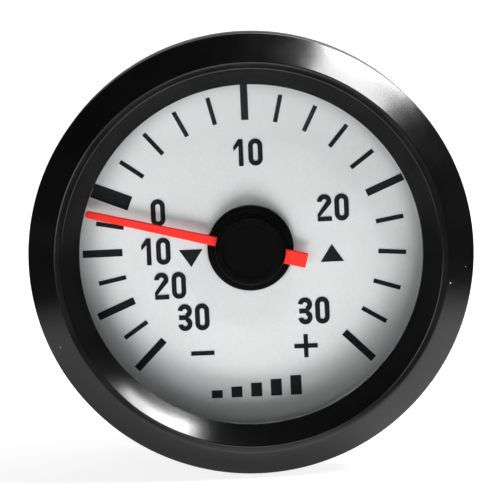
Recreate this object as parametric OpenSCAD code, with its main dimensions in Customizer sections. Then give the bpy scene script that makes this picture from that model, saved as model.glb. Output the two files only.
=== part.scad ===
// Boost gauge for a round panel hole: a Bourdon tube movement in a drawn case.
// Sizes are in millimetres. The face looks along -Y, up is +Z, and the origin is
// on the dial's axis, in the plane where the bezel meets the panel.
// Each piece is drawn in the gauge's own frame, z towards the reader and y up.

/* [Bezel] */
// Outside diameter of the bezel
bezel_d = 60; // [56:0.5:68]
// Width of the bezel's outer slope
slope_w = 4; // [3.4:0.1:4.6]
// Height of the crest above the bezel's straight side
crest_rise = 3.5; // [3:0.1:4.2]
// Radius that rounds the crest
crest_round = 0.45; // [0.3:0.05:0.6]
// Width of the bezel's inner slope
lip_w = 2.9; // [2.5:0.1:3.4]
// Height of the bezel's straight side above its inner edge
lip_drop = 0.5; // [0.3:0.1:0.8]
// Thickness of the bezel's inner edge
lip_t = 0.8; // [0.6:0.1:1]
// Sheet thickness of the bezel
bezel_t = 0.8; // [0.6:0.1:0.9]

/* [Case] */
// Width of the bezel that covers the panel's face
cover_w = 4; // [3.6:0.1:4.6]
// Step from the case's panel seat out to its neck
neck_step = 0.7; // [0.5:0.1:1]
// Length of the case that fits the panel hole
seat_l = 6; // [4:0.5:10]
// Step from the panel seat in to the case behind it
case_step = 0.5; // [0.3:0.1:0.8]
// Depth of the case behind the panel's face
case_depth = 27; // [22:0.5:36]
// Wall of the case
case_wall = 1.5; // [1.2:0.1:2]
// Thickness of the case's rear wall
rear_t = 2; // [1.5:0.1:2.5]
// Thickness of the case's front flange
flange_t = 1; // [0.8:0.1:1.3]
// Width of the ledge that the dial rests on
dial_ledge = 1; // [0.8:0.1:1.2]

/* [Lens and dial] */
// Thickness of the glass
lens_t = 2; // [1.5:0.1:3]
// Width of the glass under the bezel's lip
lens_w = 2.5; // [2:0.1:2.8]
// Gap between the pointer's cap and the glass
glass_gap = 0.7; // [0.4:0.1:2]
// Thickness of the gasket over the glass
gasket_t = 0.4; // [0.3:0.1:0.6]
// Width of the gasket
gasket_w = 2.1; // [1.5:0.1:2.1]
// Thickness of the dial plate
dial_t = 0.8; // [0.5:0.1:1]
// Depth of the dial's face behind the panel's face
dial_depth = 0.4; // [0.2:0.1:0.6]
// Hole in the dial for the arbor
dial_hole_d = 3; // [2.6:0.2:5]
// Thickness of the rim ring's foot on the dial
rim_foot = 0.6; // [0.5:0.1:0.9]
// Wall of the rim ring outside the glass
rim_wall = 1.3; // [1:0.1:1.5]
// Thickness of the rim ring's flange
rim_flange_t = 1; // [0.8:0.1:1.5]

/* [Dial printing] */
// Thickness of the printed marks
print_t = 0.08; // [0.06:0.01:0.15]
// Gap between the scale marks and the rim ring
tick_gap = 1.6; // [1:0.1:3]
// Length of a minor mark
minor_l = 3.8; // [2:0.1:4.5]
// Width of a minor mark
minor_w = 0.6; // [0.3:0.05:0.8]
// Length of a major mark
major_l = 5.4; // [4:0.1:6.4]
// Width of a major mark
major_w = 1; // [0.8:0.05:1.4]
// Width of the zero mark
zero_w = 2; // [1.4:0.1:2.4]
// Distance of the numerals' centres inside the scale marks
label_gap = 4.7; // [3.8:0.1:5.4]
// Height of a numeral
digit_h = 3.6; // [2.8:0.1:4]
// Width of a numeral
digit_w = 1.85; // [1.6:0.05:2.2]
// Stroke of a numeral
digit_stroke = 0.56; // [0.4:0.02:0.6]
// Gap between the numerals in a number
digit_gap = 0.49; // [0.45:0.01:0.9]
// Height of the rising bars under the hub
bar_h = 2.7; // [2:0.1:3]
// Width of one bar
bar_w = 1.5; // [1:0.1:2]
// Gap between the bars
bar_gap = 1.2; // [0.8:0.1:1.6]
// Distance of the bars inside the rim ring
bar_inset = 5.1; // [4:0.1:6]
// Size of the small signs for suction and pressure
sign_w = 3.2; // [2.4:0.1:3.6]
// Stroke of the small signs
sign_stroke = 0.6; // [0.5:0.05:0.8]

/* [Pointer] */
// Gap between the pointer's tip and the rim ring
pointer_gap = 1.5; // [1:0.1:4]
// Radius of the pointer's tail
tail_r = 7.8; // [6.5:0.1:9]
// Width of the pointer at its tip
tip_w = 0.95; // [0.6:0.05:1.4]
// Width of the pointer at the hub
root_w = 1.4; // [1.2:0.05:2]
// Width of the tail
tail_w = 2; // [1.6:0.1:2.4]
// Thickness of the pointer's blade
blade_t = 0.6; // [0.4:0.1:0.8]
// Diameter of the hub's base
hub_d = 11.7; // [10.5:0.1:12.5]
// Thickness of the hub's base
hub_t = 1; // [0.8:0.1:1.2]
// Gap between the dial and the hub
hub_gap = 0.5; // [0.3:0.1:0.6]
// Diameter of the hub's cap
cap_d = 9.55; // [8.5:0.05:10]
// Height of the hub's cap
cap_h = 2.1; // [1.6:0.1:2.3]

/* [Bourdon tube] */
// Gap between the tube and the case's wall
tube_gap = 4; // [3.4:0.1:4.4]
// Width of the tube across its flat
tube_h = 5; // [4:0.1:5.5]
// Thickness of the flattened tube
tube_w = 2; // [1.6:0.1:2.2]
// Wall of the tube
tube_wall = 0.35; // [0.25:0.05:0.5]
// Gap between the studs' heads and the tube
tube_rise = 1; // [0.6:0.1:1.5]
// Angle of the tube's free end
tube_end_a = 10; // [6:1:16]
// Angle of the tube's brazed end
tube_root_a = 265; // [264:1:267]

/* [Movement] */
// Thickness of the movement's plates
plate_t = 1; // [0.8:0.1:1.2]
// Gap between the tube and the movement's rear plate
plate_rise = 1.5; // [1.2:0.1:2]
// Space between the plates
plate_gap = 5.5; // [5.3:0.1:5.9]
// Tooth module of the sector and pinion
tooth_m = 0.35; // [0.33:0.01:0.36]
// Teeth of the pinion
pinion_n = 12; // [12:1:12]
// Teeth that a full sector would have
sector_n = 72; // [72:1:72]
// Distance from the sector's pivot to the link's pin
tail_arm = 4; // [3.8:0.1:4.2]
// Diameter of the arbors
arbor_d = 2; // [1.8:0.1:2.2]
// Diameter of the small pivots
pivot_d = 1.2; // [1:0.1:1.4]
// Diameter of the arbor that carries the pointer
staff_d = 1.6; // [1.4:0.1:1.7]
// Diameter of the link's pins
pin_d = 1; // [0.8:0.1:1.1]
// Diameter of the pillars between the plates
pillar_d = 3.2; // [3:0.1:3.6]
// Thickness of the sector
sector_t = 1; // [0.8:0.1:1.1]
// Thickness of the link
link_t = 0.8; // [0.6:0.1:0.9]
// Turns of the hairspring
hairspring_n = 4; // [3:1:5]
// Thickness of the hairspring's strip
hairspring_t = 0.14; // [0.1:0.02:0.2]
// Width of the hairspring's strip
hairspring_w = 0.6; // [0.4:0.1:0.8]

/* [Pressure fitting] */
// Diameter of the socket's body
socket_d = 12; // [11:0.5:12.5]
// Width of the arm that holds the tube
arm_w = 8; // [7:0.5:9]
// Diameter of the threaded stem
stem_d = 8; // [7:0.5:8.5]
// Length of the stem behind the case
stem_l = 9; // [8:0.5:11]
// Bore of the pressure passage
passage_d = 1.6; // [1.2:0.1:2]
// Width of the stem's nut round its thread, at the flats
stem_nut_w = 2; // [1.6:0.1:2.4]
// Thickness of the stem's nut
stem_nut_t = 3.2; // [2.6:0.2:3.6]
// Width of the stem's washer round its thread
stem_washer_w = 2.8; // [2.2:0.1:3]
// Thickness of the stem's washer
stem_washer_t = 0.8; // [0.6:0.1:1]
// Diameter of the nipple's crests
nipple_d = 4.8; // [4:0.1:5]
// Depth of the nipple's grooves
groove_d = 0.45; // [0.3:0.05:0.6]
// Plain length of the nipple next to its hexagon
nipple_land = 4; // [3:0.5:6]
// Crests on the nipple
crest_n = 3; // [2:1:4]
// Length of one crest and its groove
crest_l = 2; // [1.6:0.1:2.4]
// Width across the flats of the nipple's hexagon
nipple_af = 8; // [7:0.5:9]
// Thickness of the nipple's hexagon
nipple_hex_t = 3; // [2:0.5:4]
// Diameter of the nipple's thread
spigot_d = 5.6; // [5:0.1:5.8]
// Length of the nipple's thread
spigot_l = 5; // [4:0.5:6]

/* [Clamp] */
// Gap between the studs' heads and the case's wall
stud_gap = 3.5; // [3.2:0.1:4.5]
// Diameter of the studs
stud_d = 4; // [3.5:0.1:4]
// Length of the studs behind the case
stud_l = 14; // [13:0.5:20]
// Diameter of the studs' heads
stud_head_d = 7; // [6:0.1:7.2]
// Thickness of the studs' heads
stud_head_t = 1.5; // [1:0.1:1.8]
// Width of the clamp's strip
clamp_w = 14; // [12:0.5:16]
// Sheet thickness of the clamp
clamp_t = 1.2; // [1:0.1:1.5]
// Gap between the clamp's legs and the case's panel seat
clamp_side_gap = 1; // [0.6:0.1:2]
// Gap between the clamp's feet and the bezel
clamp_foot_gap = 3.5; // [3:0.1:5]
// Gap between the case and the clamp's strip
clamp_rear_gap = 3.3; // [3:0.1:5]
// Gap between the stem's nut and the hole in the clamp's middle
clamp_hole_gap = 1.4; // [1.2:0.1:1.6]
// Width of the clamp's round middle outside its hole
clamp_ring_w = 2.8; // [2.4:0.1:3]
// Width of the spring washers round the studs
lock_washer_w = 1.6; // [1.2:0.1:2]
// Thickness of the spring washers
lock_washer_t = 1; // [0.8:0.1:1.2]
// Wall of the knurled nuts round the studs
thumb_wall = 2.7; // [2:0.1:3.2]
// Length of the knurled nuts
thumb_l = 5.5; // [5:0.1:7]
// Flutes round a knurled nut
thumb_n = 18; // [12:2:24]
// Depth of the flutes
flute_depth = 0.35; // [0.2:0.05:0.4]

/* [Lamp] */
// Gap between the lamp's bulb and the tube
bulb_gap = 0.7; // [0.6:0.1:0.8]
// Angle of the lamp round the axis
lamp_a = 114; // [112:1:118]
// Diameter of the bulb's glass
bulb_d = 5; // [4:0.1:5]
// Length of the bulb's glass
bulb_l = 6.5; // [5:0.1:6.5]
// Diameter of the holder's neck
holder_neck_d = 7; // [6.6:0.1:7.2]
// Width of the holder's flange round its neck
holder_w = 0.8; // [0.6:0.1:0.9]
// Thickness of the holder's flange
holder_t = 1.6; // [1.2:0.1:2]
// Length of the holder's neck
holder_neck_l = 2.8; // [2.4:0.1:3]
// Length of the lamp's terminals
terminal_l = 4.5; // [3:0.5:6]
// Width of the lamp's terminals
terminal_w = 2.4; // [2:0.1:2.8]
// Thickness of the lamp's terminals
terminal_t = 0.5; // [0.4:0.1:0.6]

/* [Clearances] */
// Radial clearance of a pivot in its plate
running_gap = 0.04; // [0.03:0.01:0.06]
// Radial clearance of a thread or a fixed fit
thread_gap = 0.05; // [0.03:0.01:0.08]
// Radial clearance of the case's flange in the bezel
flange_gap = 0.2; // [0.1:0.05:0.4]
// Radial clearance of the dial and the glass in their seats
seat_gap = 0.1; // [0.05:0.01:0.15]
// End play of the arbors and the link
end_play = 0.1; // [0.06:0.01:0.15]
// Radial clearance at the link's open end
link_gap = 0.4; // [0.35:0.05:0.5]

/* [Hidden] */
$fn = 96;
// Overrun of every cut
cut = 1;

// Heights, from the panel's face towards the reader
flange_z = bezel_t;
rim_z = flange_z + flange_t;
dial_z = -dial_depth;
dial_back = dial_z - dial_t;
hub_z = dial_z + hub_gap;
blade_z = hub_z + hub_t;
cap_round = 0.4;
staff_top = blade_z + blade_t + hub_gap;
glass_z = blade_z + cap_h + glass_gap;
glass_top = glass_z + lens_t;
lip_z = glass_top + gasket_t;
bezel_side_h = lip_z + lip_drop;
crest_h = bezel_side_h + crest_rise;

// Heights inside the case
floor_z = rear_t - case_depth;
tube_z = floor_z + stud_head_t + tube_rise + tube_h / 2;
plate1_z = tube_z + tube_h / 2 + plate_rise;
plate1_top = plate1_z + plate_t;
plate2_z = plate1_top + plate_gap;
plate2_top = plate2_z + plate_t;
sector_share = 0.36;
sector_z = plate1_top + plate_gap * sector_share;
collar_h = 0.7;
link_z = sector_z + sector_t + collar_h + end_play;
pin_top = link_z + link_t + end_play;

// Radii, from the bezel's edge to the tube
bezel_r = bezel_d / 2;
crest_r = bezel_r - slope_w;
lip_r = crest_r - lip_w;
flange_r = bezel_r - bezel_t - flange_gap;
seat_r = bezel_r - cover_w;
crimp_r = seat_r + neck_step;
case_r = seat_r - case_step;
bore_r = case_r - case_wall;
mouth_r = bore_r + dial_ledge;
dial_r = mouth_r - seat_gap;
rim_r = mouth_r - rim_foot;
lens_r = lip_r + lens_w;
tube_r = bore_r - tube_gap - tube_w / 2;
apex_share = 0.45;
apex_z = crest_h - bezel_t * (1 + apex_share);

// Radii on the dial
tick_r = rim_r - tick_gap - major_l;
label_r = tick_r - label_gap;
bar_drop = rim_r - bar_inset;
pointer_r = rim_r - pointer_gap;
digit_step = digit_w + digit_gap;
bar_step = bar_w + bar_gap;

// The movement's places, seen from the front
pinion_r = tooth_m * pinion_n / 2;
sector_r = tooth_m * sector_n / 2;
mesh_a = 120;
sector_at = (pinion_r + sector_r) * -[cos(mesh_a), sin(mesh_a)];
tail_a = -25;
link_pin_at = sector_at + tail_arm * [cos(tail_a), sin(tail_a)];
tip_span_a = 7;
tip_pin_a = tube_end_a - tip_span_a / 2;
tip_pin_at = tube_r * [cos(tip_pin_a), sin(tip_pin_a)];
pillar_shares = [[-0.5, -0.37], [0.4, 0.4], [-0.08, -0.97]];
pillar_at = [for (s = pillar_shares) s * tube_r];
socket_screw_share = 0.31;
socket_screw_x = socket_d * socket_screw_share;

// The movement's screws
screw_d = 1.6;
screw_head_d = 3;
screw_head_t = 0.8;
screw_l = 3;
slot_w = 0.4;

// The scale, in degrees clockwise from the top
zero_a = -67.5;
suction_a = 67.5;
pressure_a = 202.5;
suction_steps = 6;
pressure_steps = 15;
reading_a = -75.4;
suction_angles = [for (k = [0 : suction_steps - 1])
    zero_a - suction_a + k * suction_a / suction_steps];
pressure_angles = [for (k = [1 : pressure_steps])
    zero_a + k * pressure_a / pressure_steps];
// Each number: its digits, its angle and its share of label_r
label_shares = [
    [[0], -67, 1.055], [[1, 0], 0.3, 1.02], [[2, 0], 66.8, 0.98],
    [[3, 0], 138, 0.97], [[1, 0], -90.3, 1.025], [[2, 0], -113.6, 0.955],
    [[3, 0], -138.9, 0.975]
];
// Places of the signs, as shares of label_r: triangles, then minus and plus
fall_share = [-0.64, -0.09];
rise_share = [0.87, -0.11];
minus_share = [-0.56, -1.13];
plus_share = [0.55, -1.1];
bar_shares = [0.4, 0.55, 0.7, 0.85, 1];

// Fitting, clamp and lamp places
stem_nut_af = stem_d + 2 * stem_nut_w;
stud_x = bore_r - stud_gap - stud_head_d / 2;
clamp_hole_r = stem_nut_af / 2 + clamp_hole_gap;
clamp_boss_r = clamp_hole_r + clamp_ring_w;
thumb_r = stud_d / 2 + thumb_wall;
lamp_r = tube_r - tube_w / 2 - bulb_gap - bulb_d / 2;
holder_r = holder_neck_d / 2 + holder_w;
clamp_z = -case_depth - clamp_rear_gap;
clamp_back = clamp_z - clamp_t;
stem_end = -case_depth - stem_l;
nipple_z = stem_end - nipple_hex_t;
nipple_l = nipple_land + crest_n * crest_l + nipple_d / 2;
lamp_at = lamp_r * [cos(lamp_a), sin(lamp_a)];

// Frame and shared shapes
module gauge_frame() {
    rotate([90, 0, 0]) children();
}

module disc(r, z0, z1) {
    translate([0, 0, z0]) cylinder(r = r, h = z1 - z0);
}

module ring(r_out, r_in, z0, z1) {
    difference() {
        disc(r_out, z0, z1);
        disc(r_in, z0 - cut, z1 + cut);
    }
}

module hexagon(flats, z0, z1) {
    translate([0, 0, z0]) cylinder(d = flats / cos(30), h = z1 - z0, $fn = 6);
}

module plate(z0, t) {
    translate([0, 0, z0]) linear_extrude(t) children();
}

// A place on the dial at an angle clockwise from the top
module at_clock(a) {
    rotate([0, 0, -a]) children();
}

// Bezel: a rolled ring with a crest, hollow inside and turned in at the back
module bezel() {
    color("black") gauge_frame() rotate_extrude() {
        polygon([
            [bezel_r, 0], [bezel_r, bezel_side_h], [crest_r + crest_round, crest_h - crest_round],
            [crest_r - crest_round, crest_h - crest_round], [lip_r, lip_z + lip_t], [lip_r, lip_z],
            [crest_r - seat_gap, lip_z], [crest_r, apex_z],
            [bezel_r - bezel_t, bezel_side_h - bezel_t * apex_share],
            [bezel_r - bezel_t, bezel_t], [crimp_r, bezel_t], [crimp_r, 0]
        ]);
        translate([crest_r, crest_h - crest_round]) circle(r = crest_round);
    }
}

module lens() {
    color("lightcyan", 0.3) gauge_frame() disc(lens_r, glass_z, glass_top);
}

module lens_gasket() {
    gasket_r = lip_r + seat_gap + gasket_w;
    color("dimgray") gauge_frame() ring(gasket_r, gasket_r - gasket_w, glass_top, lip_z);
}

// Rim ring: stands on the dial and the case's flange, and carries the glass
module rim_ring() {
    glass_seat_r = lens_r + seat_gap;
    color("black") gauge_frame() rotate_extrude() polygon([
        [rim_r, dial_z], [mouth_r - seat_gap / 2, dial_z], [mouth_r - seat_gap / 2, rim_z],
        [flange_r, rim_z], [flange_r, rim_z + rim_flange_t],
        [glass_seat_r + rim_wall, rim_z + rim_flange_t], [glass_seat_r + rim_wall, glass_top],
        [glass_seat_r, glass_top], [glass_seat_r, glass_z], [rim_r, glass_z]
    ]);
}

module dial() {
    color("silver") gauge_frame() ring(dial_r, dial_hole_d / 2, dial_back, dial_z);
}

// Printing on the dial
module tick(a, l, w) {
    at_clock(a) translate([-w / 2, tick_r, dial_z]) cube([w, l, print_t]);
}

module dial_marks() {
    color("black") gauge_frame() {
        for (k = [0 : suction_steps - 1]) {
            major = k % 2 == 0;
            tick(suction_angles[k], major ? major_l : minor_l, major ? major_w : minor_w);
        }
        tick(zero_a, major_l, zero_w);
        for (k = [0 : pressure_steps - 1]) {
            major = (k + 1) % 5 == 0;
            tick(pressure_angles[k], major ? major_l : minor_l, major ? major_w : minor_w);
        }
    }
}

// A numeral's bow: part of a ring drawn out to the numeral's width
module bow(r, a0, a1) {
    reach = 2 * r;
    intersection() {
        difference() {
            circle(r = r);
            circle(r = r - digit_stroke);
        }
        polygon([[0, 0], for (k = [0 : 4]) let (a = a0 + (a1 - a0) * k / 4) reach * [cos(a), sin(a)]]);
    }
}

module numeral_zero() {
    r = digit_w / 2;
    side = digit_h / 2 - r;
    for (s = [-1, 1]) {
        translate([s * (r - digit_stroke / 2), 0]) square([digit_stroke, 2 * side], center = true);
        translate([0, s * side]) bow(r, 90 - s * 90, 270 - s * 90);
    }
}

module numeral_one() {
    stem_x = digit_w / 2 - digit_stroke;
    flag = digit_stroke * 1.7;
    translate([stem_x - digit_stroke / 2, -digit_h / 2]) square([digit_stroke, digit_h]);
    polygon([
        [stem_x - digit_stroke / 2, digit_h / 2], [stem_x - flag, digit_h / 2 - flag],
        [stem_x - flag, digit_h / 2 - flag - digit_stroke],
        [stem_x, digit_h / 2 - digit_stroke]
    ]);
}

module numeral_two() {
    r = digit_w / 2;
    top = digit_h / 2 - r;
    foot = -digit_h / 2;
    translate([0, top]) bow(r, -20, 180);
    translate([-r, foot]) square([digit_w, digit_stroke]);
    polygon([
        [-r, foot + digit_stroke / 2], [r * cos(-20), top + r * sin(-20)],
        [(r - digit_stroke) * cos(-20), top + (r - digit_stroke) * sin(-20) + digit_stroke / 4],
        [-r, foot + digit_stroke * 1.6]
    ]);
}

module numeral_three() {
    r = digit_w / 2;
    side = digit_h / 2 - r;
    translate([0, side]) bow(r, -75, 170);
    translate([0, -side]) bow(r, -170, 75);
    translate([-r * 0.35, 0]) square([digit_w * 0.5, digit_stroke], center = true);
}

module numeral(value) {
    if (value == 0) numeral_zero();
    if (value == 1) numeral_one();
    if (value == 2) numeral_two();
    if (value == 3) numeral_three();
}

module dial_numerals() {
    color("black") gauge_frame() plate(dial_z, print_t) {
        for (l = label_shares) {
            digits = l[0];
            half = (len(digits) - 1) / 2;
            translate(label_r * l[2] * [sin(l[1]), cos(l[1])]) {
                for (k = [0 : len(digits) - 1]) {
                    translate([(k - half) * digit_step, 0]) numeral(digits[k]);
                }
            }
        }
    }
}

// Plain signs: falling and rising arrows, minus and plus, and five rising bars
module arrow(up) {
    s = up ? 1 : -1;
    polygon(sign_w / 2 * [[-1, -s * 0.7], [1, -s * 0.7], [0, s * 0.8]]);
}

module dial_symbols() {
    color("black") gauge_frame() plate(dial_z, print_t) {
        translate(label_r * fall_share) arrow(false);
        translate(label_r * rise_share) arrow(true);
        translate(label_r * minus_share) square([sign_w, sign_stroke], center = true);
        translate(label_r * plus_share) {
            square([sign_w, sign_stroke], center = true);
            square([sign_stroke, sign_w], center = true);
        }
        for (k = [0 : len(bar_shares) - 1]) {
            bar_x = (k - (len(bar_shares) - 1) / 2) * bar_step;
            translate([bar_x - bar_w / 2, -bar_drop - bar_h / 2]) square([bar_w, bar_h * bar_shares[k]]);
        }
    }
}

// Pointer, drawn pointing up and turned to its reading
module pointer_outline() {
    polygon([
        [-tail_w / 2, -tail_r], [tail_w / 2, -tail_r], [tail_w / 2, 0], [root_w / 2, 0],
        [tip_w / 2, pointer_r - tip_w / 2], [-tip_w / 2, pointer_r - tip_w / 2],
        [-root_w / 2, 0], [-tail_w / 2, 0]
    ]);
    translate([0, pointer_r - tip_w / 2]) circle(d = tip_w);
}

module pointer_blade() {
    color("red") gauge_frame() at_clock(reading_a) difference() {
        plate(blade_z, blade_t) pointer_outline();
        disc(staff_d / 2, blade_z - cut, blade_z + blade_t + cut);
    }
}

module pointer_hub() {
    color("black") gauge_frame() ring(hub_d / 2, staff_d / 2, hub_z, blade_z);
}

// The cap sits over the blade and hides the staff's end
module pointer_cap() {
    color("black") gauge_frame() at_clock(reading_a) difference() {
        rotate_extrude() translate([0, blade_z]) {
            square([cap_d / 2 - cap_round, cap_h]);
            square([cap_d / 2, cap_h - cap_round]);
            translate([cap_d / 2 - cap_round, cap_h - cap_round]) circle(r = cap_round);
        }
        plate(blade_z - cut, blade_t + cut) pointer_outline();
        disc(staff_d / 2, blade_z - cut, staff_top);
    }
}

// Case: flange, neck, panel seat and rear wall with its holes
module case_shell() {
    color("black") gauge_frame() difference() {
        rotate_extrude() polygon([
            [0, -case_depth], [case_r, -case_depth], [case_r, -seat_l], [seat_r, -seat_l],
            [seat_r, 0], [crimp_r - seat_gap, 0], [crimp_r - seat_gap, flange_z],
            [flange_r, flange_z], [flange_r, rim_z], [mouth_r, rim_z],
            [mouth_r, dial_back], [bore_r, dial_back], [bore_r, floor_z], [0, floor_z]
        ]);
        disc(stem_d / 2 + seat_gap, -case_depth - cut, floor_z + cut);
        for (s = [-1, 1]) {
            translate([s * stud_x, 0]) disc(stud_d / 2 + thread_gap, -case_depth - cut, floor_z + cut);
        }
        translate(lamp_at) disc(holder_neck_d / 2 + seat_gap, -case_depth - cut, floor_z + cut);
    }
}

// Bourdon tube: a flattened tube bent to a C round the movement
module tube_section(grow) {
    flat = tube_h - tube_w;
    square([tube_w + 2 * grow, flat], center = true);
    for (s = [-1, 1]) translate([0, s * flat / 2]) circle(d = tube_w + 2 * grow);
}

module tube_sweep(a0, a1) {
    translate([0, 0, tube_z]) rotate([0, 0, a0]) rotate_extrude(angle = a1 - a0) {
        translate([tube_r, 0]) children();
    }
}

module bourdon_tube() {
    color("goldenrod") gauge_frame() tube_sweep(tube_end_a, tube_root_a) difference() {
        tube_section(0);
        tube_section(-tube_wall);
    }
}

// Tip: closes the tube's free end and carries the link's pin
module tube_tip() {
    color("goldenrod") gauge_frame() {
        tube_sweep(tube_end_a - tip_span_a, tube_end_a) {
            square([tube_w + 2 * tube_wall, tube_h + 2 * tube_wall], center = true);
        }
        translate(tip_pin_at) {
            disc(pin_d * 1.1, tube_z + tube_h / 2, link_z - end_play);
            disc(pin_d / 2, link_z - 2 * end_play, pin_top);
        }
    }
}

// Link between the tube's tip and the sector's tail
module link() {
    run = tip_pin_at - link_pin_at;
    eye_r = pin_d / 2 + link_gap + pin_d * 0.6;
    color("silver") gauge_frame() difference() {
        union() {
            translate(link_pin_at) disc(eye_r, link_z, link_z + link_t);
            translate(tip_pin_at) disc(eye_r, link_z, link_z + link_t);
            translate([link_pin_at[0], link_pin_at[1], link_z]) rotate([0, 0, atan2(run[1], run[0])]) {
                translate([0, -pin_d * 0.6, 0]) cube([norm(run), pin_d * 1.2, link_t]);
            }
        }
        translate(link_pin_at) disc(pin_d / 2 + running_gap, link_z - cut, link_z + link_t + cut);
        translate(tip_pin_at) disc(pin_d / 2 + link_gap, link_z - cut, link_z + link_t + cut);
    }
}

module link_pin() {
    color("silver") gauge_frame() translate(link_pin_at) {
        disc(pin_d, sector_z + sector_t, link_z - end_play);
        disc(pin_d / 2, sector_z, pin_top);
    }
}

// Movement plates, pillars and screws
module plate_outline() {
    hull() {
        for (p = pillar_at) translate(p) circle(d = pillar_d + 2, $fn = 32);
        translate(sector_at) circle(r = arbor_d * 1.5, $fn = 32);
    }
}

module rear_plate() {
    color("goldenrod") gauge_frame() difference() {
        plate(plate1_z, plate_t) plate_outline();
        translate(sector_at) disc(pivot_d / 2 + running_gap, plate1_z - cut, plate1_top + cut);
        disc(pivot_d / 2 + running_gap, plate1_z - cut, plate1_top + cut);
        for (p = pillar_at) translate(p) disc(screw_d / 2, plate1_z - cut, plate1_top + cut);
        for (s = [-1, 1]) {
            translate([s * socket_screw_x, 0]) disc(screw_d / 2, plate1_z - cut, plate1_top + cut);
        }
    }
}

module front_plate() {
    color("goldenrod") gauge_frame() difference() {
        plate(plate2_z, plate_t) plate_outline();
        translate(sector_at) disc(pivot_d / 2 + running_gap, plate2_z - cut, plate2_top + cut);
        disc(staff_d / 2 + running_gap, plate2_z - cut, plate2_top + cut);
        for (p = pillar_at) translate(p) disc(screw_d / 2, plate2_z - cut, plate2_top + cut);
    }
}

// Each pillar has a spigot in the rear plate and a tapped hole under the front one
module plate_pillars() {
    color("goldenrod") gauge_frame() for (p = pillar_at) translate(p) difference() {
        union() {
            disc(pillar_d / 2, plate1_top, plate2_z);
            disc(screw_d / 2, plate1_z, plate2_z);
        }
        disc(screw_d / 2, plate2_z - screw_l, plate2_z + cut);
    }
}

module slotted_screw(head_z, l) {
    difference() {
        union() {
            disc(screw_head_d / 2, head_z, head_z + screw_head_t);
            disc(screw_d / 2, head_z - l, head_z);
        }
        translate([-screw_head_d, -slot_w / 2, head_z + screw_head_t / 2]) {
            cube([2 * screw_head_d, slot_w, screw_head_t]);
        }
    }
}

module plate_screws() {
    color("silver") gauge_frame() {
        for (p = pillar_at) translate(p) slotted_screw(plate2_top, plate_t + screw_l);
    }
}

module socket_screws() {
    color("silver") gauge_frame() {
        for (s = [-1, 1]) translate([s * socket_screw_x, 0]) slotted_screw(plate1_top, plate_t + screw_l);
    }
}

// A gear tooth: half widths at the root, the pitch circle and the tip
root_share = 1.15;
tip_share = 0.95;
tooth_shares = [0.27, 0.19, 0.075];
function polar(r, a) = r * [cos(a), sin(a)];
function tooth(r, a) = let (p = tooth_m * PI, out = polar(1, a), across = polar(1, a + 90),
    side = [[tooth_shares[0], -root_share], [tooth_shares[1], 0], [tooth_shares[2], tip_share]]) [
    for (s = [-1, 1]) for (k = s < 0 ? [0, 1, 2] : [2, 1, 0])
        (r + side[k][1] * tooth_m) * out + s * side[k][0] * p * across
];
function teeth(r, angles) = [for (a = angles) each tooth(r, a)];

// Sector: a toothed arc on a pivoted web, with a tail for the link
sector_teeth_back = 8;
sector_teeth_ahead = 3;
sector_step = 360 / sector_n;
window_steps = 6;
boss_rise = 0.4;

module sector_window() {
    r0 = arbor_d * 2;
    r1 = sector_r - arbor_d;
    a0 = mesh_a - (sector_teeth_back - 1) * sector_step;
    a1 = mesh_a + (sector_teeth_ahead - 1) * sector_step;
    polygon([
        polar(r0, a0 + sector_step * 2),
        for (k = [0 : window_steps]) polar(r1, a0 + (a1 - a0) * k / window_steps),
        polar(r0, a1 - sector_step * 2)
    ]);
}

// The gear's outline: its teeth, then the tail's four corners at the hub and at the pin
function tail_corner(x, y) = x * polar(1, tail_a) + y * polar(1, tail_a + 90);
module sector_outline() {
    w = pin_d * 1.1;
    polygon(concat(
        teeth(sector_r, [for (k = [-sector_teeth_back : sector_teeth_ahead]) mesh_a + k * sector_step]),
        [tail_corner(0, -w), tail_corner(tail_arm, -w), tail_corner(tail_arm, w), tail_corner(0, w)]
    ));
}

module sector_gear() {
    top = sector_z + sector_t;
    color("goldenrod") gauge_frame() translate(sector_at) difference() {
        union() {
            plate(sector_z, sector_t) sector_outline();
            disc(arbor_d * 1.3, sector_z - boss_rise, top + boss_rise);
            rotate([0, 0, tail_a]) translate([tail_arm, 0]) disc(pin_d * 1.3, sector_z, top);
        }
        plate(sector_z - cut, sector_t + 2 * cut) sector_window();
        disc(arbor_d / 2, sector_z - boss_rise - cut, top + boss_rise + cut);
        rotate([0, 0, tail_a]) translate([tail_arm, 0]) disc(pin_d / 2, sector_z - cut, top + cut);
    }
}

module sector_arbor() {
    color("silver") gauge_frame() translate(sector_at) {
        disc(arbor_d / 2, plate1_top + end_play, plate2_z - end_play);
        disc(pivot_d / 2, plate1_z + end_play, plate2_top - end_play);
    }
}

// Pinion and arbor in one piece; its front end carries the pointer
pinion_half = 0.4;
module pinion_arbor() {
    gap_a = mesh_a + 180 + 180 / pinion_n;
    pinion_z0 = sector_z - pinion_half;
    pinion_z1 = sector_z + sector_t + pinion_half;
    color("silver") gauge_frame() {
        disc(arbor_d / 2, plate1_top + end_play, plate2_z - end_play);
        disc(pivot_d / 2, plate1_z + end_play, plate2_z);
        disc(staff_d / 2, plate2_z - 2 * end_play, staff_top);
        plate(pinion_z0, pinion_z1 - pinion_z0) {
            polygon(teeth(pinion_r, [for (k = [0 : pinion_n - 1]) gap_a + k * 360 / pinion_n]));
        }
    }
}

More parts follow.
